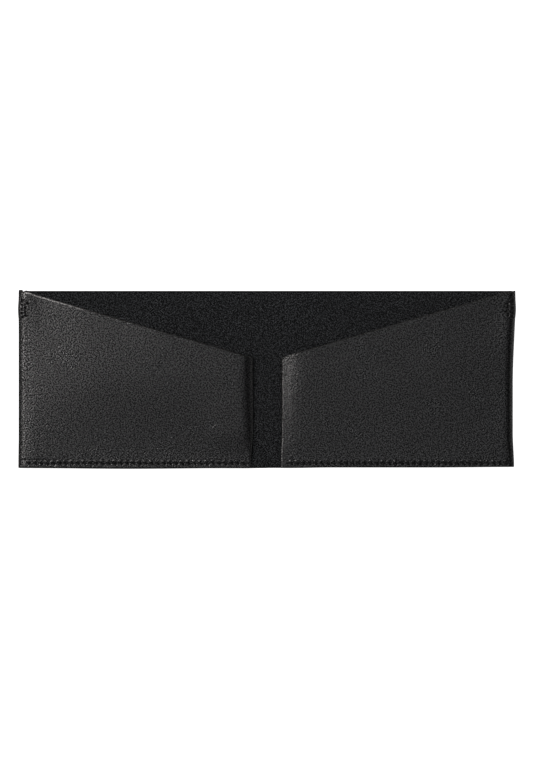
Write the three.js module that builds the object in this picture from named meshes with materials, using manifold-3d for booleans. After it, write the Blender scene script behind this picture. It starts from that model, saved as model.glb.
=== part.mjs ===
// A bifold wallet lying open: one strip of hide folded into two pockets and sewn along the bottom.
// Millimetres. +X runs along the open length, +Y from the seam towards the pocket mouths, +Z up.
// The origin is in the middle of the underside, where the wallet rests.
//
// Each half is built on the +X side and the left one is mirrored. From the gutter outwards the hide is
// the cover panel, turns over the outer fold, comes back as the pocket front, turns under the inner
// fold and ends as the pocket return. Cards go between front and return, notes between return and cover.

import * as THREE from 'three';
import { mergeVertices } from 'three/addons/utils/BufferGeometryUtils.js';
import Module from 'manifold-3d';

const wasm = await Module();
wasm.setup();

// Whole wallet
const OPEN_LENGTH = 240;
const HEIGHT = 85.4;
const LEATHER = 1.0;

// Layers of one half, upwards from the underside
const NOTE_SLOT = 0.5;
const CARD_SLOT = 0.8;
const COVER_TOP = LEATHER;
const RETURN_BOTTOM = COVER_TOP + NOTE_SLOT;
const RETURN_TOP = RETURN_BOTTOM + LEATHER;
const FRONT_BOTTOM = RETURN_TOP + CARD_SLOT;
const FRONT_TOP = FRONT_BOTTOM + LEATHER;

// Folds at the two ends of the pocket front
const OUTER_FOLD_RADIUS = FRONT_TOP / 2;
const INNER_FOLD_RADIUS = (FRONT_TOP - RETURN_BOTTOM) / 2;
const FOLD_SEGMENTS = 10;

// Gutter between the pockets, with a strip of spine between its two hinge lines
const GUTTER_WIDTH = 15.2;
const SPINE_WIDTH = GUTTER_WIDTH / 2;
const HINGE_GAP = 0.4;

// Where the panels end
const EDGE_X = OPEN_LENGTH / 2;
const OUTER_FOLD_X = EDGE_X - OUTER_FOLD_RADIUS;
const INNER_FOLD_X = GUTTER_WIDTH / 2 + INNER_FOLD_RADIUS;
const HINGE_X = SPINE_WIDTH / 2;
const BOTTOM_Y = -HEIGHT / 2;
const TOP_Y = HEIGHT / 2;
const RETURN_REACH = OUTER_FOLD_X + 0.4;

// Slanted pocket mouth: level by the outer fold, then down in a straight line to a clipped inner corner
const MOUTH_START_Y = TOP_Y - 0.7;
const MOUTH_LEVEL = 4.6;
const MOUTH_END_X = 10.2;
const MOUTH_END_Y = BOTTOM_Y + 54.4;
const INNER_FOLD_TOP_Y = BOTTOM_Y + 53.0;
const RETURN_SHORTER = 0.6;

// Stitching: square thread runs lie in grooves, and their legs meet halfway down the holes
const THREAD = 0.5;
const HOLE = 0.9;
const GROOVE = 0.7;
const GROOVE_FLOOR = FRONT_TOP - 0.3;
const GROOVE_ROOF = 0.35;
const UNDER_THREAD = 0.05;
const LEG_GAP = 0.3;
const SEAM_Y = BOTTOM_Y + 2.3;
const SEAM_START_X = 10;
const SEAM_END_X = 117;
const SEAM_STITCHES = 36;
const TACK_TOP_Y = TOP_Y - 4.8;
const TACK_HEIGHT = 8.0;
const TACK_STITCHES = 4;
const TACK_INNER_X = EDGE_X - 3.3;
const TACK_OUTER_X = EDGE_X - 1.3;

// Colours
const GRAIN = 0x2b2b2c;
const FLESH = 0x232426;
const THREAD_COLOUR = 0x0b0b0c;

// Solids

function box(low, high) {
  const size = high.map((value, axis) => value - low[axis]);
  const geometry = new THREE.BoxGeometry(...size);
  return geometry.translate(...low.map((value, axis) => value + size[axis] / 2));
}

// A flat panel cut to an outline in X and Y, between two heights
function panel(outline, bottom, top) {
  const shape = new THREE.Shape(outline.map(([x, y]) => new THREE.Vector2(x, y)));
  const settings = { depth: top - bottom, bevelEnabled: false };
  return new THREE.ExtrudeGeometry(shape, settings).translate(0, 0, bottom);
}

// Half a tube of leather along Y: it opens away from the direction that it faces, +1 outwards or -1 inwards
function fold(centreX, centreZ, radius, facing, topY) {
  const shape = new THREE.Shape();
  const start = -Math.PI / 2;
  const end = Math.PI / 2;
  shape.absarc(0, 0, radius, start, end, false);
  shape.absarc(0, 0, radius - LEATHER, end, start, true);
  const settings = { depth: topY - BOTTOM_Y, bevelEnabled: false, curveSegments: FOLD_SEGMENTS };
  const geometry = new THREE.ExtrudeGeometry(shape, settings);
  if (facing < 0) geometry.rotateZ(Math.PI);
  return geometry.rotateX(Math.PI / 2).translate(centreX, topY, centreZ);
}

function solidOf(geometry) {
  const bare = geometry.clone();
  bare.deleteAttribute('normal');
  bare.deleteAttribute('uv');
  const merged = mergeVertices(bare);
  return new wasm.Manifold(new wasm.Mesh({
    numProp: 3,
    vertProperties: merged.attributes.position.array,
    triVerts: new Uint32Array(merged.index.array),
  }));
}

function geometryOf(solid) {
  const { vertProperties, triVerts } = solid.getMesh();
  const geometry = new THREE.BufferGeometry();
  geometry.setAttribute('position', new THREE.BufferAttribute(vertProperties, 3));
  geometry.setIndex(new THREE.BufferAttribute(triVerts, 1));
  const facets = geometry.toNonIndexed();
  facets.computeVertexNormals();
  return facets;
}

function joined(geometries) {
  return geometries.map(solidOf).reduce((whole, piece) => whole.add(piece));
}

// Stitch lines: each has its two end holes, and the number of stitches between them

const seam = { start: [SEAM_START_X, SEAM_Y], end: [SEAM_END_X, SEAM_Y], stitches: SEAM_STITCHES };
const tackColumns = [TACK_INNER_X, TACK_OUTER_X].map((x) => ({
  start: [x, TACK_TOP_Y],
  end: [x, TACK_TOP_Y - TACK_HEIGHT],
  stitches: TACK_STITCHES,
}));
const tackLink = {
  start: [TACK_INNER_X, TACK_TOP_Y],
  end: [TACK_OUTER_X, TACK_TOP_Y],
  stitches: 1,
};
const tack = [...tackColumns, tackLink];

function holesOf(line) {
  const holes = [];
  for (let index = 0; index <= line.stitches; index += 1) {
    const share = index / line.stitches;
    holes.push(line.start.map((value, axis) => value + (line.end[axis] - value) * share));
  }
  return holes;
}

// A square post around a hole's axis
function post([x, y], width, bottom, top) {
  const half = width / 2;
  return box([x - half, y - half, bottom], [x + half, y + half, top]);
}

// A straight bar over a whole stitch line
function bar(line, width, bottom, top) {
  const half = width / 2;
  const low = line.start.map((value, axis) => Math.min(value, line.end[axis]) - half);
  const high = line.start.map((value, axis) => Math.max(value, line.end[axis]) + half);
  return box([...low, bottom], [...high, top]);
}

// Everything that stitching takes out of the leather: the holes, and a groove on each face
function stitchRoom(lines) {
  const above = FRONT_TOP + 1;
  const below = -1;
  const cuts = lines.flatMap((line) => [
    ...holesOf(line).map((hole) => post(hole, HOLE, below, above)),
    bar(line, GROOVE, GROOVE_FLOOR, above),
    bar(line, GROOVE, below, GROOVE_ROOF),
  ]);
  return joined(cuts);
}

const stackMiddle = (GROOVE_FLOOR + GROOVE_ROOF) / 2;

function needleThread(lines) {
  return joined(lines.flatMap((line) => [
    bar(line, THREAD, GROOVE_FLOOR, FRONT_TOP),
    ...holesOf(line).map((hole) => post(hole, THREAD, stackMiddle + LEG_GAP / 2, FRONT_TOP)),
  ]));
}

function bobbinThread(lines) {
  return joined(lines.flatMap((line) => [
    bar(line, THREAD, UNDER_THREAD, GROOVE_ROOF),
    ...holesOf(line).map((hole) => post(hole, THREAD, UNDER_THREAD, stackMiddle - LEG_GAP / 2)),
  ]));
}

// Leather panels of one half, uncut

function coverPanel() {
  const innerX = HINGE_X + HINGE_GAP / 2;
  return box([innerX, BOTTOM_Y, 0], [OUTER_FOLD_X, TOP_Y, COVER_TOP]);
}

function pocketFront() {
  const outline = [
    [INNER_FOLD_X, BOTTOM_Y],
    [OUTER_FOLD_X, BOTTOM_Y],
    [OUTER_FOLD_X, MOUTH_START_Y],
    [EDGE_X - MOUTH_LEVEL, MOUTH_START_Y],
    [MOUTH_END_X, MOUTH_END_Y],
    [INNER_FOLD_X, INNER_FOLD_TOP_Y],
  ];
  return panel(outline, FRONT_BOTTOM, FRONT_TOP);
}

function pocketReturn() {
  const outline = [
    [INNER_FOLD_X, BOTTOM_Y],
    [RETURN_REACH, BOTTOM_Y],
    [RETURN_REACH, MOUTH_START_Y - RETURN_SHORTER],
    [EDGE_X - MOUTH_LEVEL, MOUTH_START_Y - RETURN_SHORTER],
    [MOUTH_END_X, MOUTH_END_Y - RETURN_SHORTER],
    [INNER_FOLD_X, INNER_FOLD_TOP_Y - RETURN_SHORTER],
  ];
  return panel(outline, RETURN_BOTTOM, RETURN_TOP);
}

function outerFold() {
  return fold(OUTER_FOLD_X, FRONT_TOP / 2, OUTER_FOLD_RADIUS, 1, TOP_Y);
}

function innerFold() {
  const centreZ = (RETURN_BOTTOM + FRONT_TOP) / 2;
  return fold(INNER_FOLD_X, centreZ, INNER_FOLD_RADIUS, -1, INNER_FOLD_TOP_Y - RETURN_SHORTER);
}

// Named meshes

function part(name, geometry, color, roughness) {
  const material = new THREE.MeshStandardMaterial({ color, roughness, metalness: 0 });
  const mesh = new THREE.Mesh(geometry, material);
  mesh.name = name;
  return mesh;
}

function grainPart(name, geometry) {
  return part(name, geometry, GRAIN, 0.55);
}

function fleshPart(name, geometry) {
  return part(name, geometry, FLESH, 0.9);
}

function threadPart(name, solid) {
  return part(name, geometryOf(solid), THREAD_COLOUR, 0.7);
}

function half(side) {
  const room = stitchRoom([seam, ...tack]);
  const sewn = (geometry) => geometryOf(solidOf(geometry).subtract(room));
  const group = new THREE.Group();
  group.add(
    fleshPart(`${side}_cover_panel`, sewn(coverPanel())),
    grainPart(`${side}_outer_fold`, sewn(outerFold())),
    grainPart(`${side}_pocket_front`, sewn(pocketFront())),
    grainPart(`${side}_inner_fold`, innerFold()),
    grainPart(`${side}_pocket_return`, sewn(pocketReturn())),
    threadPart(`${side}_seam_needle_thread`, needleThread([seam])),
    threadPart(`${side}_seam_bobbin_thread`, bobbinThread([seam])),
    threadPart(`${side}_tack_needle_thread`, needleThread(tack)),
    threadPart(`${side}_tack_bobbin_thread`, bobbinThread(tack)),
  );
  return group;
}

// The middle of the cover, between the hinge lines of the gutter
function spineStrip() {
  const reach = HINGE_X - HINGE_GAP / 2;
  return box([-reach, BOTTOM_Y, 0], [reach, TOP_Y, COVER_TOP]);
}

const wallet = new THREE.Group();
const leftHalf = half('left');
leftHalf.scale.x = -1;
wallet.add(leftHalf, fleshPart('spine_strip', spineStrip()), half('right'));

export default wallet;
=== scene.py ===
"""A black leather bifold wallet lying open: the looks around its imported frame.

Lengths are worked out in millimetres and become metres where a mesh is made. Each half of the hide is one
closed sheet, whose cross-section runs from the middle of the gutter along the cover, over the outer fold,
back along the pocket front, under the inner fold and out again along the pocket return.
"""

import math

import bpy
import numpy as np
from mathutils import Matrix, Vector
from mathutils.bvhtree import BVHTree


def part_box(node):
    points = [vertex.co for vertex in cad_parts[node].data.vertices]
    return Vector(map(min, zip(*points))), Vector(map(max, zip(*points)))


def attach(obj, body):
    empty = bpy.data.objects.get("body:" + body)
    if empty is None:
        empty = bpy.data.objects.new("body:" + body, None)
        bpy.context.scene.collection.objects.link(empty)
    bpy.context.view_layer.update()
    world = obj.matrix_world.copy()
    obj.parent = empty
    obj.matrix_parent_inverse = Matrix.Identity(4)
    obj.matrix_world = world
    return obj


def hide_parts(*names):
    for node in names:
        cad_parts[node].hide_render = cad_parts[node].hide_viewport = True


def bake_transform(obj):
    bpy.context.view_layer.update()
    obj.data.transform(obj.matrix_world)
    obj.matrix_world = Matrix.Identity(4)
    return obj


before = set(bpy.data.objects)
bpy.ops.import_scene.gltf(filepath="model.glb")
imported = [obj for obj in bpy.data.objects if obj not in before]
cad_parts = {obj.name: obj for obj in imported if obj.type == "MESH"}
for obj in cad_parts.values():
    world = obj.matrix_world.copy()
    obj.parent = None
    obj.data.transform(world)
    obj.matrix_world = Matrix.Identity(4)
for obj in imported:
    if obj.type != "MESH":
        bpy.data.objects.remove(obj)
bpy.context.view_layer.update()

MM = 0.001
rng = np.random.default_rng(7)


# ---------------------------------------------------------------- sizes from the frame


def box_mm(node):
    """A CAD node's lowest and highest corners, in millimetres."""
    low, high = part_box(node)
    return np.array(low) / MM, np.array(high) / MM


outer_low, outer_high = box_mm("right_outer_fold")
inner_low, inner_high = box_mm("right_inner_fold")
front_low, front_high = box_mm("right_pocket_front")
return_low, return_high = box_mm("right_pocket_return")
seam_low, seam_high = box_mm("right_seam_needle_thread")
tack_low, tack_high = box_mm("right_tack_needle_thread")
strip_low, strip_high = box_mm("spine_strip")

EDGE_X = outer_high[0]
GUTTER_X = inner_low[0]
BOTTOM_Y, TOP_Y = outer_low[1], outer_high[1]
# The hide is a little thinner than its slab in the frame, and the round thread thicker than its square bar
THICK = 0.94 * strip_high[2]
THREAD = 1.2 * (seam_high[1] - seam_low[1])

SEAM_Y = (seam_low[1] + seam_high[1]) / 2
SEAM_X = (seam_low[0] + THREAD / 2, seam_high[0] - THREAD / 2)
SEAM_STITCHES = 36
TACK_X = (tack_low[0] + THREAD / 2, tack_high[0] - THREAD / 2)
TACK_Y = (tack_low[1] + THREAD / 2, tack_high[1] - THREAD / 2)
TACK_STITCHES = 4
TACK_MIDDLE_Y = (TACK_Y[0] + TACK_Y[1]) / 2

# Pocket mouth: level beside the outer fold, then a straight slant down to the clipped inner corner
MOUTH_Y = front_high[1]
MOUTH_LEVEL = 4.6
MOUTH_CORNER = (10.2, BOTTOM_Y + 54.25)
FOLD_MOUTH_Y = inner_high[1] + 0.6
RETURN_SHORTER = MOUTH_Y - return_high[1]
RETURN_END_X = EDGE_X - 4.2

# Heights of the middle of each layer, where the seam presses them together and where they lie free.
# A pocket front has three: beside its outer fold, in its middle and beside its inner fold.
COVER_Z = strip_high[2] / 2
SEAM_LIFT = 0.2
RETURN_Z = 1.5
FRONT_LEVELS = {"left": (2.5, 4.35, 4.35), "right": (3.2, 3.35, 3.6)}
# How strongly the bar tack presses the outer end of the pocket front down
TACK_PRESS = {"left": 0.8, "right": 0.45}

# ---------------------------------------------------------------- small maths


def smooth(value):
    """0 below 0, 1 above 1, and an even curve between."""
    value = np.clip(value, 0, 1)
    return value * value * (3 - 2 * value)


def bell(value):
    """1 at 0, falling off to nothing about 2 to each side."""
    return np.exp(-np.square(value))


def mix(a, b, share):
    return a + (b - a) * share


def graded(length, spacing):
    """Places from 0 to length whose gaps follow spacing(place)."""
    fine = np.linspace(0, length, 6001)
    middles = (fine[1:] + fine[:-1]) / 2
    count = np.concatenate([[0], np.cumsum(np.diff(fine) / spacing(middles))])
    steps = int(np.ceil(count[-1]))
    return np.interp(np.linspace(0, count[-1], steps + 1), count, fine)


def waves(shortest, longest, number):
    """A gentle random surface from -1 to 1 over x and y, made of crossing waves."""
    lengths = rng.uniform(shortest, longest, number)
    angles = rng.uniform(0, math.pi, number)
    phases = rng.uniform(0, math.tau, number)

    def height(x, y):
        total = 0
        for length, angle, phase in zip(lengths, angles, phases):
            along = x * math.cos(angle) + y * math.sin(angle)
            total = total + np.sin(along * math.tau / length + phase)
        return total / number

    return height


cover_waves = waves(38, 90, 5)
front_waves = {side: waves(22, 70, 7) for side in ("left", "right")}

# ---------------------------------------------------------------- the hide's shape

# Creased folds as (how far inwards from the crease, share of the rise to the panel's height)
OUTER_ROLL = {
    "left": ((0.5, 0.24), (1.0, 0.45), (1.55, 0.64), (2.1, 0.77), (2.8, 0.83), (3.6, 0.88), (4.6, 0.94)),
    "right": ((0.3, 0.35), (0.8, 0.62), (1.4, 0.8), (2.1, 0.91), (2.9, 0.97), (3.8, 1.0), (4.8, 1.0)),
}
INNER_ROLL = {
    "left": ((0.9, 0.34), (2.1, 0.66), (3.5, 0.88), (5.2, 0.985), (7.4, 1.0)),
    "right": ((0.7, 0.05), (1.7, 0.16), (3.0, 0.36), (4.4, 0.59), (6.2, 0.8), (8.5, 0.95)),
}
# Rise of the pocket front from its outer fold inwards, as (millimetres from the edge, share)
PILLOW = {
    "left": ((6.5, 0.04), (10, 0.17), (16, 0.38), (24, 0.63), (34, 0.87), (50, 0.99), (72, 1.0), (92, 1.0)),
    "right": ((8, 0.3), (11, 0.5), (16, 0.8), (24, 0.94), (34, 0.99), (50, 1.0), (72, 1.0), (92, 1.0)),
}
# The turns of the two folds, as (how far inwards from the crease, layers up from the lower one)
OUTER_TURN = ((5.0, 0), (2.6, 0), (1.2, 0), (0.15, 0), (-0.4, 0.48), (0.1, 1.0))
INNER_TURN = ((0.15, 1.0), (-0.35, 0.5), (0.15, 0), (1.2, 0))
# Where the flat layers have their control points
COVER_X = (0, 4, GUTTER_X, 12, 24, 44, 64, 84, 100, 110)
RETURN_X = (11, 16, 26, 46, 66, 86, 104, RETURN_END_X)

# How strongly the outer edge is drawn in towards the seam, and how much it comes out again at the seam
BOW = {"left": (0.0, 0.15), "right": (1.25, 0.6)}
# How slowly the inner fold opens from the seam upwards: 0 as its return, 1 as its pocket front
INNER_LAG = {"left": 0.5, "right": 0.8}
# How far the pocket mouth lies below the frame's
MOUTH_DROP = {"left": 0.35, "right": 0.05}
# How much further over the gutter than the frame's the inner fold reaches, at the seam and higher up
TIP_REACH = {"left": (0.0, 1.0), "right": (1.15, 0.65)}
# How much further out than the frame's the outer edge, the top edge and the bottom edge lie
EDGE_REACH = 0.17
TOP_REACH = 0.26
BOTTOM_REACH = 0.18


def opening(y):
    """0 at the seam, where the layers are pressed together, to 1 where they lie free."""
    return smooth((y - SEAM_Y - 1.0) / 15)


def outer_edge(side, y):
    """Where the outer fold's middle surface turns over, at height y."""
    depth, rise = BOW[side]
    drawn = depth * smooth((TOP_Y - 4.7 - y) / 40) - rise * smooth((BOTTOM_Y + 16.7 - y) / 16)
    tack_swell = 0.3 * bell((y - TACK_MIDDLE_Y) / 4)
    return EDGE_X - THICK / 2 + EDGE_REACH - drawn + tack_swell


def inner_tip(side, y):
    """Where the inner fold's middle surface turns under, at height y."""
    sewn_reach, free_reach = TIP_REACH[side]
    return GUTTER_X + 0.08 + THICK / 2 - mix(sewn_reach, free_reach, opening(y))


def mouth(side, x):
    """Height of the pocket front's top edge at x."""
    slope = (MOUTH_Y - MOUTH_CORNER[1]) / (EDGE_X - MOUTH_LEVEL - MOUTH_CORNER[0])
    slanted = MOUTH_CORNER[1] + slope * (x - MOUTH_CORNER[0])
    return np.minimum(MOUTH_Y, slanted) - MOUTH_DROP[side]


def give(side, y, inward, top):
    """How the front sinks towards its mouth on the left, and stands up beside its fold on the right."""
    if side == "right":
        return 0.55 * bell((inward - 3.0) / 6) * bell((y - 26) / 12)
    reach_in = smooth((inward - 3) / 10) * smooth((80 - inward) / 40)
    return -0.8 * reach_in * np.exp(-np.maximum(top - y, 0) / 12)


def cover_lift(y):
    """How far the seam and the bar tack draw the cover up into the stack."""
    return SEAM_LIFT * np.maximum(bell((y - SEAM_Y) / 5), bell((y - TACK_MIDDLE_Y) / 7))


def front_heights(side, y):
    """Heights of the pocket front beside its outer fold, in its middle and beside its inner fold."""
    outer_level, front_level, inner_level = FRONT_LEVELS[side]
    free = opening(y)
    slow = smooth((y - SEAM_Y - 2.5) / 42)
    tacked = bell((y - TACK_MIDDLE_Y - 1) / 10)
    sewn_z = COVER_Z + SEAM_LIFT + 2.06 * THICK
    outer_z = mix(sewn_z, outer_level, mix(free, slow, 0.5) * (1 - TACK_PRESS[side] * tacked))
    front_z = mix(sewn_z, front_level, slow)
    inner_z = mix(sewn_z, inner_level, mix(free, slow, INNER_LAG[side]))
    return outer_z, front_z, inner_z


def section(side, y):
    """The hide's middle line at height y, as control points (x, z, height of the top edge there)."""
    outer_z, front_z, inner_z = front_heights(side, y)
    return_z = mix(COVER_Z + SEAM_LIFT + 1.02 * THICK, RETURN_Z, opening(y))
    lift = cover_lift(y)
    edge_z = COVER_Z + lift
    edge, tip = outer_edge(side, y), inner_tip(side, y)
    points = []

    def add(x, z, top):
        points.append(np.stack(np.broadcast_arrays(x, z, top + 0 * y), axis=-1))

    for x in COVER_X:
        add(x, COVER_Z + lift * smooth((x - GUTTER_X) / 6), TOP_Y)
    for inward, layer in OUTER_TURN:
        top = TOP_Y if layer < 1 else mix(TOP_Y, MOUTH_Y, 0.5)
        add(edge - inward, edge_z + layer * THICK, top)
    for inward, rise in OUTER_ROLL[side]:
        z = mix(edge_z + THICK, outer_z, rise) + give(side, y, inward, MOUTH_Y)
        add(edge - inward, z, MOUTH_Y)
    for inward, rise in PILLOW[side]:
        x = EDGE_X - inward
        z = mix(outer_z, front_z, rise) + give(side, y, inward, mouth(side, x))
        add(x, mix(z, inner_z, smooth((40 - x) / 24)), mouth(side, x))
    for inward, rise in ((14.0, 1.0), *reversed(INNER_ROLL[side])):
        top = mouth(side, tip + inward) if inward > 2 else FOLD_MOUTH_Y + 0.7
        add(tip + inward, mix(return_z + THICK, inner_z, rise), top)
    for inward, layer in INNER_TURN:
        add(tip + inward, return_z + layer * THICK, FOLD_MOUTH_Y)
    for x in RETURN_X:
        top = mouth(side, x) - RETURN_SHORTER if x > RETURN_X[0] else FOLD_MOUTH_Y + 0.3
        add(x, return_z, top)
    return np.stack(points)


def flat_section(side):
    """The section halfway up, as control points (x, z, height of the top edge there)."""
    return section(side, np.array([0.0]))[:, 0]


def spline_weights(places, count):
    """Weights of a cubic B-spline's control points at places from 0, the first point, to count - 1."""
    span = np.clip(np.floor(places).astype(int), 0, count - 2)
    t = places - span
    cubic = np.stack(
        [(1 - t) ** 3, 3 * t**3 - 6 * t**2 + 4, -3 * t**3 + 3 * t**2 + 3 * t + 1, t**3], axis=1
    )
    weights = np.zeros((len(places), count + 2))
    for k in range(4):
        weights[np.arange(len(places)), span + k] = cubic[:, k] / 6
    ends = weights[:, [0, -1]]
    weights = weights[:, 1:-1]
    weights[:, 0] += 2 * ends[:, 0]
    weights[:, 1] -= ends[:, 0]
    weights[:, -1] += 2 * ends[:, 1]
    weights[:, -2] -= ends[:, 1]
    return weights


# Gaps between the grid's columns, and how far along the section the pocket front starts
COVER_GAP = 0.66
FRONT_GAP = 0.33
FOLD_GAP = 0.22
RETURN_GAP = 4.0
FRONT_START = 122.0

# Rows: an even band along the bottom holds the seam, and a crease pressed above it
BAND = 9.0
CREASE = 3.7


def column_places(side):
    """Where the grid's columns lie along the section, closer together in the folds and on the front."""
    control = flat_section(side)
    count = len(control)
    fine = np.linspace(0, count - 1, 8001)
    line = spline_weights(fine, count) @ control
    steps = np.hypot(np.diff(line[:, 0]), np.diff(line[:, 1]))
    along = np.concatenate([[0], np.cumsum(steps)])
    past_gutter = 1e3 * (fine < count / 2)
    inner_turn = along[np.argmin(line[:, 0] + past_gutter)]

    def spacing(place):
        x = np.interp(place, along, line[:, 0])
        folded = bell((x - EDGE_X) / 4) + bell((x - GUTTER_X) / 4) * (place > inner_turn - 12)
        flat = np.where(place > FRONT_START, FRONT_GAP, COVER_GAP)
        gap = mix(flat, FOLD_GAP, np.clip(folded * 1.4, 0, 1))
        return np.where(place > inner_turn + 5, RETURN_GAP, gap)

    columns = graded(along[-1], spacing)
    return np.interp(columns, along, fine), columns, count


def row_places():
    """Heights of the grid's rows: millimetres above the bottom in the band, then shares of the rest."""

    def near_seam(place):
        stitched = bell((place - (SEAM_Y - BOTTOM_Y)) / 1.2)
        creased = bell((place - CREASE) / 0.35)
        return 0.62 - 0.34 * stitched - 0.36 * creased

    tack_share = (TACK_MIDDLE_Y - BOTTOM_Y - BAND) / (TOP_Y - BOTTOM_Y - BAND)

    def above(place):
        tacked = np.minimum(1.7 * bell((place - tack_share) / 0.075), 1)
        ends = bell((1 - place) / 0.012)
        return np.maximum(0.036 - 0.0335 * tacked - 0.0325 * ends, 0.0025)

    return graded(BAND, near_seam), graded(1.0, above)[1:]


def bottom_edge(side, x):
    """The cut bottom edge wanders a little from straight."""
    if side == "left":
        return BOTTOM_Y - 0.4 * bell((x - 66) / 34) - 0.1 * bell((x - 10) / 12)
    return BOTTOM_Y + 0.25 * smooth((x - 12) / 20) + 0.25 * smooth((x - 80) / 40)


def corner_detail(side, x):
    """The hide stands up a little in the outer fold's top end, beside a small nick."""
    size = 1.0 if side == "left" else 0.35
    nub = 0.5 * smooth((x - (EDGE_X - 1.9)) / 0.5)
    nick = 0.35 * bell((x - (EDGE_X - 2.1)) / 0.4)
    return size * (nub - nick + 0.2 * bell((x - (EDGE_X - 3.3)) / 0.8))


# ---------------------------------------------------------------- where the stitches lie

# A seam stitch's rise either side of its middle, what it leaves free at each end, and how far it lies
# below the frame's seam
SLANT = 0.28
STITCH_GAP = 0.7
SEAM_BELOW = 0.3
# How far each stitch of a bar tack's inner column leans towards the gutter, from the top one down
TACK_LEAN = {"left": (1.3, 0.1, 0.0, 0.3), "right": (0.5, 0.7, 1.3, 0.3)}


def seam_stitches(side):
    """The seam's visible stitches: each slants down to the right, with a little leather between two."""
    places = np.linspace(*SEAM_X, SEAM_STITCHES + 1)
    middle = SEAM_Y - SEAM_BELOW
    lean = -SLANT if side == "left" else SLANT
    return [
        ((x0 + STITCH_GAP, middle + lean), (x1 - STITCH_GAP, middle - lean))
        for x0, x1 in zip(places[:-1], places[1:])
    ]


def tack_stitches(side):
    """The bar tack's visible stitches: short ones in two columns, half a pitch apart, one over the edge."""
    inner_x, outer_x = TACK_X
    pitch = (TACK_Y[1] - TACK_Y[0]) / TACK_STITCHES
    inner, outer = [], []
    for number, lean in enumerate(TACK_LEAN[side]):
        y = TACK_Y[1] - pitch * number
        outer.append(((outer_x, y + 0.2), (outer_x - 0.1, y - 0.25)))
        inner.append(((inner_x + 0.3 - lean, y - 1.2), (inner_x + 0.3, y - 0.1)))
    last = ((outer_x - 0.5, TACK_Y[0] + 0.3), (outer_x + 0.85, TACK_Y[0] - 0.5))
    return inner[::-1] + outer + [last]


# What a stitch does to the leather: depth and width of its slot, and of the holes at its ends
SEAM_SLOT, SEAM_HOLES = (0.12, 0.34), (0.2, 0.4)
TACK_SLOT, TACK_HOLES = (0.4, 0.36), (0.6, 0.4)
# A lip of leather swells up above each stitch of the seam
LIP = 0.26
LIP_ABOVE = 1.2


def stitch_marks(x, y, stitches, deep_end, slot, holes_size):
    """How deep stitches draw the leather down: a slot along their deeper end, and a hole at each end."""
    slot_depth, slot_width = slot
    hole_depth, hole_radius = holes_size
    depth = np.zeros(x.shape)
    for (x0, y0), (x1, y1) in stitches:
        near = (np.abs(x - (x0 + x1) / 2) < 4) & (np.abs(y - (y0 + y1) / 2) < 4)
        if not near.any():
            continue
        px, py = x[near] - x0, y[near] - y0
        length = math.hypot(x1 - x0, y1 - y0)
        ax, ay = (x1 - x0) / length, (y1 - y0) / length
        along, across = px * ax + py * ay, px * ay - py * ax
        ahead = along if deep_end == 1 else length - along
        on_line = smooth((ahead - 0.3 * length) / 0.5) * smooth((length - ahead) / 0.4 + 0.5)
        groove = slot_depth * bell(across / slot_width) * on_line
        holes = bell(np.hypot(ahead - length, across) / hole_radius)
        holes = np.maximum(holes, 0.4 * bell(np.hypot(ahead, across) / hole_radius))
        depth[near] = np.maximum(depth[near], np.maximum(groove, hole_depth * holes))
    return depth


def stitch_lips(x, y, stitches):
    """Where the leather swells up above each stitch of the seam, squeezed by its pull."""
    swell = np.zeros(x.shape)
    for (x0, y0), (x1, y1) in stitches:
        across, above = x - (x0 + x1) / 2, y - (y0 + y1) / 2 - LIP_ABOVE
        near = (np.abs(across) < 2) & (np.abs(above) < 2)
        swell[near] += bell(across[near] / 0.7) * bell(above[near] / 0.4)
    return swell


def grain_relief(side, grid):
    """How far the grain surface sinks for stitches and the pressed crease, and where it is pierced."""
    x, y = grid["middle"][..., 0], grid["middle"][..., 1]
    lower_end = 0 if side == "left" else 1
    sewn = stitch_marks(x, y, seam_stitches(side), lower_end, SEAM_SLOT, SEAM_HOLES)
    tacked = stitch_marks(x, y, tack_stitches(side), 0, TACK_SLOT, TACK_HOLES)
    pierced = np.clip(np.maximum(sewn / SEAM_SLOT[0], tacked / 0.35), 0, 1) * grid["front"]
    sewn = np.maximum(sewn, tacked) - LIP * stitch_lips(x, y, seam_stitches(side)) * grid["front"]
    strength = (0.13 if side == "left" else 0.06) * (0.4 + 0.6 * smooth((x - EDGE_X + 30) / 20))
    crease = strength * bell((y - BOTTOM_Y - CREASE) / 0.28) * grid["front"]
    return np.where(grid["front"] | grid["cover"], sewn, 0) + crease, pierced


# ---------------------------------------------------------------- the hide's mesh

# The cut edges are rounded: how far they bulge, and how many strips of faces go round them
EDGE_BULGE = 0.3
EDGE_RINGS = 4
COVER_WAVE = 0.07
FRONT_WAVE = 0.12


def surface_waves(side, x, y, front):
    """How far the cover and the pocket front wander from flat where they lie free."""
    free = smooth((y - SEAM_Y - 2) / 15) * smooth((x - GUTTER_X - 1) / 8) * smooth((EDGE_X - x - 1) / 8)
    across = x if side == "right" else -x
    cover_wave = COVER_WAVE * (1 + cover_waves(across, y)) * smooth((y - SEAM_Y - 3) / 10)
    front_wave = FRONT_WAVE * front_waves[side](x, y) * free
    return front_wave, np.where(front, 0, cover_wave * (x < EDGE_X - 6))


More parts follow.
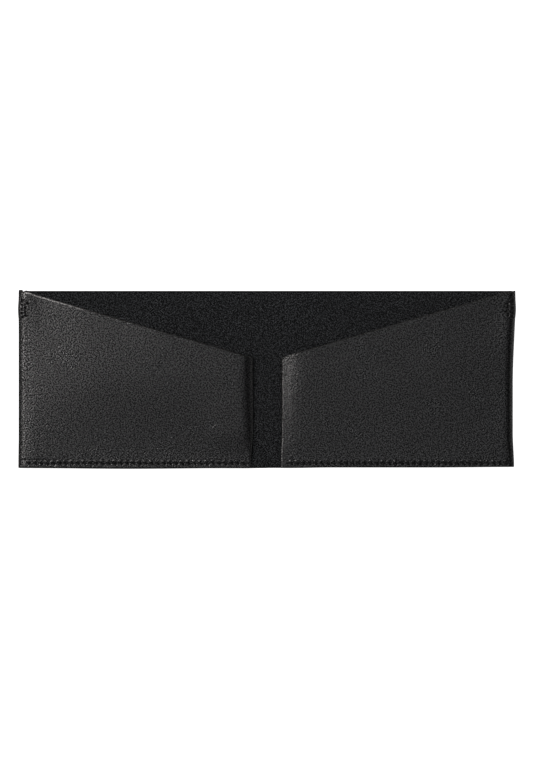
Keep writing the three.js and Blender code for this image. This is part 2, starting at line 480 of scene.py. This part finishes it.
def hide_grid(side):
    """Grids of the hide's middle surface, its grain normals and how tightly it bends."""
    places, along, count = column_places(side)
    weights = spline_weights(places, count)
    line = flat_section(side)
    flat_x = weights @ line[:, 0]
    tops = weights @ line[:, 2]
    tops = tops + corner_detail(side, flat_x) - EDGE_BULGE + TOP_REACH
    bottoms = bottom_edge(side, flat_x) + EDGE_BULGE - BOTTOM_REACH
    band, shares = row_places()
    low = bottoms[:, None] + band[None, :]
    high = low[:, -1:] + (tops[:, None] - low[:, -1:]) * shares[None, :]
    y = np.concatenate([low, high], axis=1)
    control = section(side, y)
    x = np.einsum("uk,kuv->uv", weights, control[..., 0])
    z = np.einsum("uk,kuv->uv", weights, control[..., 1])
    turned = along[:, None] > along[-1] - RETURN_END_X + 6
    front = np.arange(len(along))[:, None] > np.argmax(flat_x)
    front_wave, cover_wave = surface_waves(side, x, y, front)
    z = z + np.where(front & ~turned, front_wave, 0) + cover_wave
    middle = np.stack([x, y, z], axis=-1)
    across = np.gradient(middle, axis=0)
    upward = np.gradient(middle, axis=1)
    normal = -np.cross(across, upward)
    normal /= np.linalg.norm(normal, axis=-1, keepdims=True)
    bend = np.linalg.norm(np.gradient(normal, axis=0), axis=-1)
    radius = np.linalg.norm(across, axis=-1) / np.maximum(bend, 1e-6)
    return {
        "middle": middle,
        "normal": normal,
        "across": across,
        "upward": upward,
        "radius": radius,
        "along": along,
        "front": front & ~turned,
        "cover": ~front,
    }


def perimeter(columns, rows):
    """The grid's border, walked once round from the gutter along the bottom, up the far end and back."""
    bottom = [(u, 0) for u in range(columns)]
    end = [(columns - 1, v) for v in range(1, rows)]
    top = [(u, rows - 1) for u in range(columns - 2, -1, -1)]
    start = [(0, v) for v in range(rows - 2, 0, -1)]
    return np.array(bottom + end + top + start)


def unit(vectors):
    return vectors / np.maximum(np.linalg.norm(vectors, axis=-1, keepdims=True), 1e-9)


def edge_rings(grid, u, v):
    """Rings of points that round off the cut edge between the grain side and the flesh side."""
    middle, normal = grid["middle"], grid["normal"]
    columns, rows = middle.shape[:2]
    outward = np.zeros((len(u), 3))
    upward, across = unit(grid["upward"][u, v]), unit(grid["across"][u, v])
    outward += upward * ((v == rows - 1).astype(float) - (v == 0))[:, None]
    outward += across * (u == columns - 1)[:, None]
    outward = unit(outward)
    rings = []
    for ring in range(1, EDGE_RINGS):
        angle = math.pi / 2 - math.pi * ring / EDGE_RINGS
        rounded = normal[u, v] * (THICK / 2) * math.sin(angle)
        rings.append(middle[u, v] + rounded + outward * EDGE_BULGE * math.cos(angle))
    return rings


def hide_faces(columns, rows, u, v):
    """Faces of the grain side, the flesh side and the rounded edge, with a material slot for each."""
    cells = columns * rows
    first = (np.arange(columns - 1)[:, None] * rows + np.arange(rows - 1)[None, :]).ravel()
    grain_faces = np.stack([first, first + 1, first + rows + 1, first + rows], axis=1)
    flesh_faces = cells + np.stack([first, first + rows, first + rows + 1, first + 1], axis=1)
    loops = [u * rows + v]
    loops += [2 * cells + ring * len(u) + np.arange(len(u)) for ring in range(EDGE_RINGS - 1)]
    loops += [cells + u * rows + v]
    edge_faces = []
    for near, far in zip(loops[:-1], loops[1:]):
        edge_faces.append(np.stack([near, np.roll(near, -1), np.roll(far, -1), far], axis=1))
    edge_faces = np.concatenate(edge_faces)
    slots = np.repeat([0, 1, 2], [len(grain_faces), len(flesh_faces), len(edge_faces)])
    return np.concatenate([grain_faces, flesh_faces, edge_faces]), slots


def wear_and_shade_places(grid):
    """Tight bends and the rim: rubbed lighter on the grain side, and given painted shade on the flesh side.
    """
    y = grid["middle"][..., 1]
    bends = bell((grid["radius"] - 1.1) / 1.6)
    rim = np.minimum(y - y[:, :1], y[:, -1:] - y)
    return np.maximum(bends, 0.7 * bell(rim / 0.7))


def painted_mouth_highlight_places(side, grid):
    """Where a pale painted highlight lies on the left pocket's mouth: along its edge, near the outer corner.
    """
    x, y = grid["middle"][..., 0], grid["middle"][..., 1]
    near_corner = smooth((x - EDGE_X + 42) / 34) * smooth((EDGE_X - 1.2 - x) / 1.5)
    return near_corner * (side == "left") * grid["front"] * bell((y[:, -1:] - y) / 0.4)


def hide_half(side):
    """One half of the hide as a closed sheet with rounded cut edges."""
    grid = hide_grid(side)
    middle, normal = grid["middle"], grid["normal"]
    columns, rows = middle.shape[:2]
    relief, pierced = grain_relief(side, grid)
    grain = middle + normal * (THICK / 2 - relief)[..., None]
    inside = np.minimum(THICK / 2, 0.8 * grid["radius"])
    flesh = middle - normal * inside[..., None]
    border = perimeter(columns, rows)
    u, v = border[:, 0], border[:, 1]
    cells = columns * rows

    def spread(values):
        """A grid's values at every vertex: on both sides and on the rounded edge."""
        flat = values.reshape(cells, *values.shape[2:])
        return np.concatenate([flat] * 2 + [values[u, v]] * (EDGE_RINGS - 1))

    vertices = np.concatenate([grain.reshape(-1, 3), flesh.reshape(-1, 3)] + edge_rings(grid, u, v))
    faces, slots = hide_faces(columns, rows, u, v)
    along = np.repeat(grid["along"][:, None], rows, axis=1)
    uv = spread(np.stack([along, middle[..., 1]], axis=-1))
    pierced = np.concatenate([pierced.ravel(), np.zeros(len(vertices) - cells)])
    if side == "left":
        vertices = vertices * (-1, 1, 1)
        uv = uv * (-1, 1)
        faces = faces[:, ::-1]
    piece = mesh_piece(f"{side}_hide", vertices, faces.tolist(), uv)
    # Vertex values for the materials: the bends and rim (rubbed on the grain, painted shade on the flesh)
    # and the painted highlight along the left pocket's mouth
    wear_and_shade, painted_mouth_highlight = spread(wear_and_shade_places(grid)), spread(painted_mouth_highlight_places(side, grid))
    for label, numbers in (("wear_and_shade", wear_and_shade), ("painted_mouth_highlight", painted_mouth_highlight), ("pierced", pierced)):
        attribute = piece.data.attributes.new(label, "FLOAT", "POINT")
        attribute.data.foreach_set("value", numbers.astype(np.float32))
    piece.data.polygons.foreach_set("material_index", slots.astype(np.int32))
    piece.data.set_sharp_from_angle(angle=math.radians(55))
    return piece


def mesh_piece(name, vertices, faces, uv):
    """A smooth-shaded object from millimetre vertices, with its flat millimetre map in metres as UVs."""
    mesh = bpy.data.meshes.new(name)
    mesh.from_pydata((vertices * MM).tolist(), [], faces)
    corners = np.empty(len(mesh.loops), dtype=int)
    mesh.loops.foreach_get("vertex_index", corners)
    layer = mesh.uv_layers.new(name="Hide")
    layer.data.foreach_set("uv", (uv[corners] * MM).astype(np.float32).ravel())
    mesh.polygons.foreach_set("use_smooth", np.ones(len(mesh.polygons), dtype=bool))
    mesh.update()
    piece = bpy.data.objects.new(name, mesh)
    bpy.context.scene.collection.objects.link(piece)
    return piece


# ---------------------------------------------------------------- threads


def surface_under(hide):
    """Where a line along Z first meets the hide, from above or from below."""
    tree = BVHTree.FromObject(hide, bpy.context.evaluated_depsgraph_get())

    def height(x, y, inside):
        start = Vector((x * MM, y * MM, 0.05 if inside else -0.05))
        hit = tree.ray_cast(start, Vector((0, 0, -1 if inside else 1)))[0]
        return hit.z / MM

    return height


STITCH_STEPS = 14
TAIL_STEPS = 8
THREAD_SIDES = 10
PLY_TWIST = 1.9

# A stitch's height over the leather from hole to hole: it comes up steeply and sinks into its slot again
STITCH_PROFILE = ((0, -0.5), (0.08, 0.05), (0.25, 0.3), (0.5, 0.42), (0.75, 0.3), (0.92, 0.05), (1, -0.5))
# How much deeper the threads lie in the tack's tight stitches, on the outside, and in its loose ends
TACK_SINK = 0.5
OUTSIDE_SINK = 0.55
OUTSIDE_TAIL_SINK = 0.45
# Where along a stitch the leather's height is felt
FEELERS = (0.22, 0.5, 0.78)


def stitch_path(stitches, height, inside, sink):
    """One thread's route: over the leather from hole to hole, and down inside it to the next stitch."""
    sign = 1 if inside else -1
    shares, levels = np.array(STITCH_PROFILE).T
    path = []
    for (x0, y0), (x1, y1) in stitches:
        base = [height(mix(x0, x1, s), mix(y0, y1, s), inside) for s in FEELERS]
        for share in np.linspace(0, 1, STITCH_STEPS):
            level = np.interp(share, FEELERS, base)
            rise = np.interp(share, shares, levels) - sink
            path.append((mix(x0, x1, share), mix(y0, y1, share), level + sign * rise))
    return path


def tail_path(start, end, height, inside):
    """The loose end of a thread, from its last hole to a sealed tip lying on the leather."""
    sign = 1 if inside else -1
    sink = 0 if inside else OUTSIDE_TAIL_SINK
    path = []
    for share in np.linspace(0, 1, TAIL_STEPS):
        x, y = mix(start[0], end[0], share), mix(start[1], end[1], share)
        lift = 0.32 * THREAD - 0.5 * (1 - share) ** 4 - sink
        path.append((x, y, height(x, y, inside) + sign * lift))
    return path


def thread_tube(name, path):
    """A two-ply twisted thread along a path of points, closed at both ends, its tips melted to a bead."""
    points = np.array(path)
    tangents = unit(np.gradient(points, axis=0))
    side_axis = unit(np.cross(tangents, (0.0, 0.0, 1.0)))
    up_axis = np.cross(side_axis, tangents)
    steps = np.linalg.norm(np.diff(points, axis=0), axis=1)
    along = np.concatenate([[0], np.cumsum(steps)])
    angles = np.linspace(0, math.tau, THREAD_SIDES, endpoint=False)
    turn = angles[None, :] - along[:, None] * math.tau / PLY_TWIST
    radius = THREAD / 2 * (0.9 + 0.14 * np.cos(2 * turn))
    ends = np.minimum(along, along[-1] - along)[:, None]
    bead = 1 + 0.35 * bell((ends - 0.25) / 0.22)
    radius = radius * bead * np.sqrt(smooth((ends + 0.06) / 0.3))
    around = angles[None, :, None]
    ring = side_axis[:, None] * np.cos(around) + up_axis[:, None] * np.sin(around)
    vertices = (points[:, None] + ring * radius[..., None]).reshape(-1, 3)
    count = len(points)
    index = np.arange(count * THREAD_SIDES).reshape(count, THREAD_SIDES)
    ahead = np.roll(index, -1, axis=1)
    faces = np.stack([index[:-1], index[1:], ahead[1:], ahead[:-1]], axis=-1).reshape(-1, 4)
    faces = faces.tolist() + [index[0].tolist(), index[-1][::-1].tolist()]
    uv = np.stack(np.broadcast_arrays(along[:, None], angles[None, :] * THREAD / 2), axis=-1)
    return mesh_piece(name, vertices, faces, uv.reshape(-1, 2))


def sew(side, hide):
    """The four threads of one half: the seam's and the bar tack's, each inside and outside."""
    mirror = -1 if side == "left" else 1
    height = surface_under(hide)

    def place(stitches):
        return [tuple((mirror * x, y) for x, y in stitch) for stitch in stitches]

    threads = []
    for inside in (True, False):
        face, thread = ("inside", "needle") if inside else ("outside", "bobbin")
        stitches = place(seam_stitches(side))
        path = stitch_path(stitches, height, inside, 0.0 if inside else OUTSIDE_SINK)
        first = stitches[0][0]
        start = tail_path(first, (first[0] - mirror * 1.7, SEAM_Y - 0.25), height, inside)
        seam = thread_tube(f"{side}_seam_{face}_stitches", start[::-1] + path[1:])
        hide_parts(f"{side}_seam_{thread}_thread")
        stitches = place(tack_stitches(side))
        path = stitch_path(stitches, height, inside, TACK_SINK if inside else OUTSIDE_SINK)
        if inside:
            first = stitches[0][0]
            tail = tail_path(first, (first[0] + mirror * 0.2, first[1] + 0.9), height, inside)
            path = tail[::-1] + path[1:]
        tack = thread_tube(f"{side}_tack_{face}_stitches", path)
        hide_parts(f"{side}_tack_{thread}_thread")
        threads += [seam, tack]
    return threads


# ---------------------------------------------------------------- materials


class Nodes:
    """A material's node tree, with short calls to add and join nodes."""

    def __init__(self, name):
        self.material = bpy.data.materials.new(name)
        self.material.use_nodes = True
        self.tree = self.material.node_tree
        self.tree.nodes.clear()
        output = self.tree.nodes.new("ShaderNodeOutputMaterial")
        self.shader = self.add("ShaderNodeBsdfPrincipled")
        self.tree.links.new(self.shader.outputs[0], output.inputs["Surface"])

    def add(self, kind, settings=None, **inputs):
        node = self.tree.nodes.new(kind)
        for key, value in (settings or {}).items():
            setattr(node, key, value)
        for key, value in inputs.items():
            self.feed(node.inputs[key.replace("_", " ")], value)
        return node

    def feed(self, socket, value):
        if isinstance(value, bpy.types.NodeSocket):
            self.tree.links.new(value, socket)
        else:
            socket.default_value = value

    def place(self, scale, turn=0.0, stretch=1.0):
        """Coordinates on the flat hide, in units of 1 / scale millimetres, turned and stretched."""
        uv = self.add("ShaderNodeUVMap", {"uv_map": "Hide"}).outputs[0]
        turned = self.add("ShaderNodeMapping", Vector=uv, Rotation=(0, 0, turn)).outputs[0]
        size = (scale / MM, scale / MM / stretch, scale / MM)
        return self.add("ShaderNodeMapping", Vector=turned, Scale=size).outputs[0]

    def noise(self, scale, detail=3.0, turn=0.0, stretch=1.0, distortion=0.0):
        """A random value from 0 to 1 over the flat hide, with features about 1 / scale millimetres wide."""
        flat = {"noise_dimensions": "2D"}
        node = self.add("ShaderNodeTexNoise", flat, Vector=self.place(scale, turn, stretch))
        node.inputs["Scale"].default_value = 1.0
        node.inputs["Detail"].default_value = detail
        node.inputs["Distortion"].default_value = distortion
        return node.outputs["Fac"]

    def span(self, value, low, high, to_low=0.0, to_high=1.0, smooth_step=False):
        """The value's stretch from low to high laid onto to_low to to_high, and held at its ends."""
        kind = "SMOOTHSTEP" if smooth_step else "LINEAR"
        node = self.add("ShaderNodeMapRange", {"interpolation_type": kind}, Value=value)
        for name, number in (
            ("From Min", low),
            ("From Max", high),
            ("To Min", to_low),
            ("To Max", to_high),
        ):
            node.inputs[name].default_value = number
        return node.outputs[0]

    def math(self, operation, a, b=0.0):
        node = self.tree.nodes.new("ShaderNodeMath")
        node.operation = operation
        self.feed(node.inputs[0], a)
        self.feed(node.inputs[1], b)
        return node.outputs[0]

    def blend(self, share, a, b):
        """The colour a given share of the way from a to b."""
        node = self.tree.nodes.new("ShaderNodeMix")
        node.data_type = "RGBA"
        self.feed(node.inputs[0], share)
        for socket, value in ((node.inputs[6], a), (node.inputs[7], b)):
            self.feed(socket, (*value, 1.0) if isinstance(value, tuple) else value)
        return node.outputs[2]

    def surface_value(self, name):
        """A value that the mesh carries at its vertices."""
        return self.add("ShaderNodeAttribute", {"attribute_name": name}).outputs["Fac"]

    def bump(self, height, distance, normal=None):
        """Normals tilted by a height whose whole range is a distance in millimetres."""
        node = self.tree.nodes.new("ShaderNodeBump")
        node.inputs["Strength"].default_value = 1.0
        node.inputs["Distance"].default_value = distance * MM
        self.feed(node.inputs["Height"], height)
        if normal is not None:
            self.feed(node.inputs["Normal"], normal)
        return node.outputs[0]

    def finish(self, colour, roughness, normal, **fixed):
        """The material itself, once its shader has its inputs."""
        self.feed(self.shader.inputs["Base Color"], colour)
        self.feed(self.shader.inputs["Roughness"], roughness)
        self.feed(self.shader.inputs["Normal"], normal)
        for key, value in fixed.items():
            self.shader.inputs[key.replace("_", " ")].default_value = value
        return self.material


def grain_leather():
    """Smooth black hide: a fine pebbled grain that glints in places, matt holes, and a pale painted
    highlight along the mouth.
    """
    n = Nodes("GrainLeather")
    flat = {"feature": "F1", "voronoi_dimensions": "2D"}
    pebbles = n.add("ShaderNodeTexVoronoi", flat, Vector=n.place(1.15, turn=0.75, stretch=1.1))
    pebbles.inputs["Scale"].default_value = 1.0
    pebbles.inputs["Randomness"].default_value = 0.7
    domes = n.span(pebbles.outputs["Distance"], 0.0, 0.7, 1.0, 0.0, smooth_step=True)
    fine = n.noise(1.75, detail=0.5, turn=0.75, stretch=1.1)
    broad = n.noise(0.06, detail=2.0)
    height = n.math("ADD", n.math("MULTIPLY", domes, 0.6), n.math("MULTIPLY", fine, 1.2))
    normal = n.bump(height, 0.07)
    wear_and_shade, painted_mouth_highlight, pierced = n.surface_value("wear_and_shade"), n.surface_value("painted_mouth_highlight"), n.surface_value("pierced")
    # Painted light and shade on the grain: pebble tops lighter, the creases between them darker
    colour = n.blend(domes, (0.0040, 0.0040, 0.0044), (0.0105, 0.0104, 0.0108))
    # Rubbed wear lightens the grain in tight bends and along the rim
    colour = n.blend(n.math("MULTIPLY", wear_and_shade, 0.3), colour, (0.022, 0.021, 0.021))
    # Painted highlight: the left pocket's mouth edge turned pale, in dots
    painted_highlight_share = n.math("MULTIPLY", painted_mouth_highlight, n.span(fine, 0.35, 0.55))
    colour = n.blend(painted_highlight_share, colour, (0.75, 0.73, 0.72))
    rough = n.span(broad, 0.3, 0.7, 0.27, 0.3)
    rough = n.math("SUBTRACT", rough, n.math("MULTIPLY", wear_and_shade, 0.04))
    glints = n.span(fine, 0.34, 0.66, 0.05, 1.05)
    unpierced = n.span(pierced, 0.1, 0.9, 1.0, 0.05)
    n.feed(n.shader.inputs["Specular IOR Level"], n.math("MULTIPLY", glints, unpierced))
    return n.finish(colour, rough, normal, IOR=1.53)


def flesh_leather():
    """The hide's rough side: short matted fibres, dull and slightly cool, with painted shade in bends and
    along the rims.
    """
    n = Nodes("FleshLeather")
    fibres = n.noise(1.8, detail=0.5, turn=0.9, stretch=1.1)
    tufts = n.noise(1.1, detail=2.0, turn=-0.6, distortion=0.4)
    hairs = n.noise(3.0, detail=2.0, turn=1.2, stretch=2.5)
    broad = n.noise(0.05, detail=3.0)
    height = n.math("ADD", n.span(fibres, 0.3, 0.7), n.math("MULTIPLY", n.span(hairs, 0.3, 0.7), 0.5))
    normal = n.bump(height, 1.1)
    normal = n.bump(tufts, 0.5, normal)
    colour = n.blend(n.span(fibres, 0.42, 0.64), (0.0004, 0.0006, 0.0010), (0.1150, 0.1220, 0.1300))
    colour = n.blend(n.span(broad, 0.35, 0.65, 0.0, 0.2), colour, (0.024, 0.0255, 0.0275))
    # Painted shade: the flesh darkened in tight bends and along the rim
    painted_rim_shade = n.span(n.surface_value("wear_and_shade"), 0.2, 0.6, 0.0, 0.7)
    colour = n.blend(painted_rim_shade, colour, (0.004, 0.004, 0.005))
    rough = n.span(tufts, 0.3, 0.7, 0.8, 0.98)
    return n.finish(colour, rough, normal, Specular_IOR_Level=0.2)


def cut_edge():
    """The hide's cut edge: dyed, a little fibrous, browner where the dye has not soaked in."""
    n = Nodes("CutEdge")
    fibres = n.noise(2.4, detail=4.0, stretch=3.0)
    dye = n.noise(0.3, detail=3.0)
    colour = n.blend(n.span(fibres, 0.35, 0.7), (0.008, 0.0075, 0.007), (0.026, 0.024, 0.022))
    colour = n.blend(n.span(dye, 0.6, 0.75, 0.0, 0.5), colour, (0.045, 0.035, 0.028))
    # Painted highlight: the cut edge along the left pocket's mouth turned pale
    painted_highlight_share = n.math("MULTIPLY", n.surface_value("painted_mouth_highlight"), n.span(fibres, 0.3, 0.6, 0.4, 1.0))
    colour = n.blend(painted_highlight_share, colour, (0.20, 0.19, 0.19))
    normal = n.bump(fibres, 0.12)
    return n.finish(colour, n.span(dye, 0.3, 0.7, 0.6, 0.75), normal, Specular_IOR_Level=0.3)


def sewing_thread():
    """Black waxed thread, its plies laid over each other at a slant."""
    n = Nodes("SewingThread")
    plies = n.noise(4.5, detail=3.0, turn=0.8, stretch=4.0)
    wax = n.noise(0.8, detail=2.0)
    colour = n.blend(n.span(plies, 0.3, 0.7), (0.002, 0.002, 0.002), (0.008, 0.008, 0.008))
    normal = n.bump(plies, 0.06)
    return n.finish(colour, n.span(wax, 0.3, 0.7, 0.4, 0.5), normal, Specular_IOR_Level=0.25)


def paper_floor():
    """White paper, lit up evenly so that the backdrop stays white."""
    n = Nodes("PaleFloor")
    mottle = n.add("ShaderNodeTexNoise", Scale=3.0, Detail=2.0).outputs["Fac"]
    colour = n.blend(n.span(mottle, 0.2, 0.8), (0.90, 0.90, 0.90), (0.92, 0.92, 0.92))
    fine = n.add("ShaderNodeTexNoise", Scale=900.0, Detail=2.0).outputs["Fac"]
    glow = {"Emission_Color": (1.0, 1.0, 1.0, 1.0), "Emission_Strength": 1.0}
    return n.finish(colour, 0.9, n.bump(fine, 0.02), Specular_IOR_Level=0.1, **glow)


# ---------------------------------------------------------------- the wallet

materials = [grain_leather(), flesh_leather(), cut_edge()]
thread_material = sewing_thread()
LEATHER_NODES = ("cover_panel", "outer_fold", "pocket_front", "inner_fold", "pocket_return")

for side in ("left", "right"):
    hide = hide_half(side)
    for material in materials:
        hide.data.materials.append(material)
    threads = sew(side, hide)
    for thread in threads:
        thread.data.materials.append(thread_material)
        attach(thread, f"{side}_half")
    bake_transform(hide)
    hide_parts(*[f"{side}_{node}" for node in LEATHER_NODES], "spine_strip")

# ---------------------------------------------------------------- floor, light and camera

# Far away with a long lens, so that the picture has next to no perspective
CAMERA_HEIGHT = 2.6
CAMERA_LENS = 254.4
FLOOR_SIZE = 8
# Softboxes by name: place in metres, side in metres, watts and colour; all point at the wallet
SOFTBOXES = {
    "key": ((-0.8, 0.35, 1.386), 0.6, 9.2, (1.0, 0.963, 0.945)),
    "overhead": ((0, 0, 1.45), 0.8, 1.2, (0.96, 0.975, 1.0)),
    "behind": ((0.1, 1.3, 0.95), 0.5, 3.5, (1.0, 0.98, 0.97)),
}
# Strength of the light from the ceiling and the walls, and between which heights (sines) they meet
CEILING_LIGHT = 0.02
WALL_LIGHT = 0.32
WALLS_END = 0.45
CEILING_START = 0.62


def add_floor():
    bpy.ops.mesh.primitive_plane_add(size=FLOOR_SIZE, location=(0, 0, -0.1 * MM))
    floor = bpy.context.object
    floor.name = "floor"
    floor.data.materials.append(paper_floor())
    floor.visible_glossy = False


def add_softbox(name, place, size, watts, colour):
    lamp = bpy.data.lights.new(name, "AREA")
    lamp.shape = "RECTANGLE"
    lamp.size = lamp.size_y = size
    lamp.energy = watts
    lamp.color = colour
    box = bpy.data.objects.new(name, lamp)
    box.location = place
    box.rotation_euler = (-Vector(place)).to_track_quat("-Z", "Y").to_euler()
    bpy.context.scene.collection.objects.link(box)


def add_room_light(overhead, walls):
    """A dim ceiling and brighter walls, which show in the leather's sheen when it is seen from low down."""
    world = bpy.data.worlds.new("Studio")
    world.use_nodes = True
    tree = world.node_tree
    background = tree.nodes["Background"]
    background.inputs["Color"].default_value = (1.0, 1.0, 1.0, 1.0)
    direction = tree.nodes.new("ShaderNodeTexCoord").outputs["Generated"]
    height = tree.nodes.new("ShaderNodeSeparateXYZ")
    tree.links.new(direction, height.inputs[0])
    fade = tree.nodes.new("ShaderNodeMapRange")
    fade.interpolation_type = "SMOOTHSTEP"
    fade.inputs["From Min"].default_value = WALLS_END
    fade.inputs["From Max"].default_value = CEILING_START
    fade.inputs["To Min"].default_value = walls
    fade.inputs["To Max"].default_value = overhead
    tree.links.new(height.outputs["Z"], fade.inputs["Value"])
    tree.links.new(fade.outputs[0], background.inputs["Strength"])
    bpy.context.scene.world = world


def add_camera():
    """Straight above, with +Y up in the picture."""
    camera = bpy.data.cameras.new("camera")
    camera.lens = CAMERA_LENS
    camera.sensor_width = 36
    view = bpy.data.objects.new("camera", camera)
    view.location = (-0.24 * MM, 0, CAMERA_HEIGHT)
    bpy.context.scene.collection.objects.link(view)
    bpy.context.scene.camera = view


add_floor()
for name, settings in SOFTBOXES.items():
    add_softbox(name, *settings)
add_room_light(CEILING_LIGHT, WALL_LIGHT)
add_camera()
bpy.context.scene.view_settings.view_transform = "Standard"
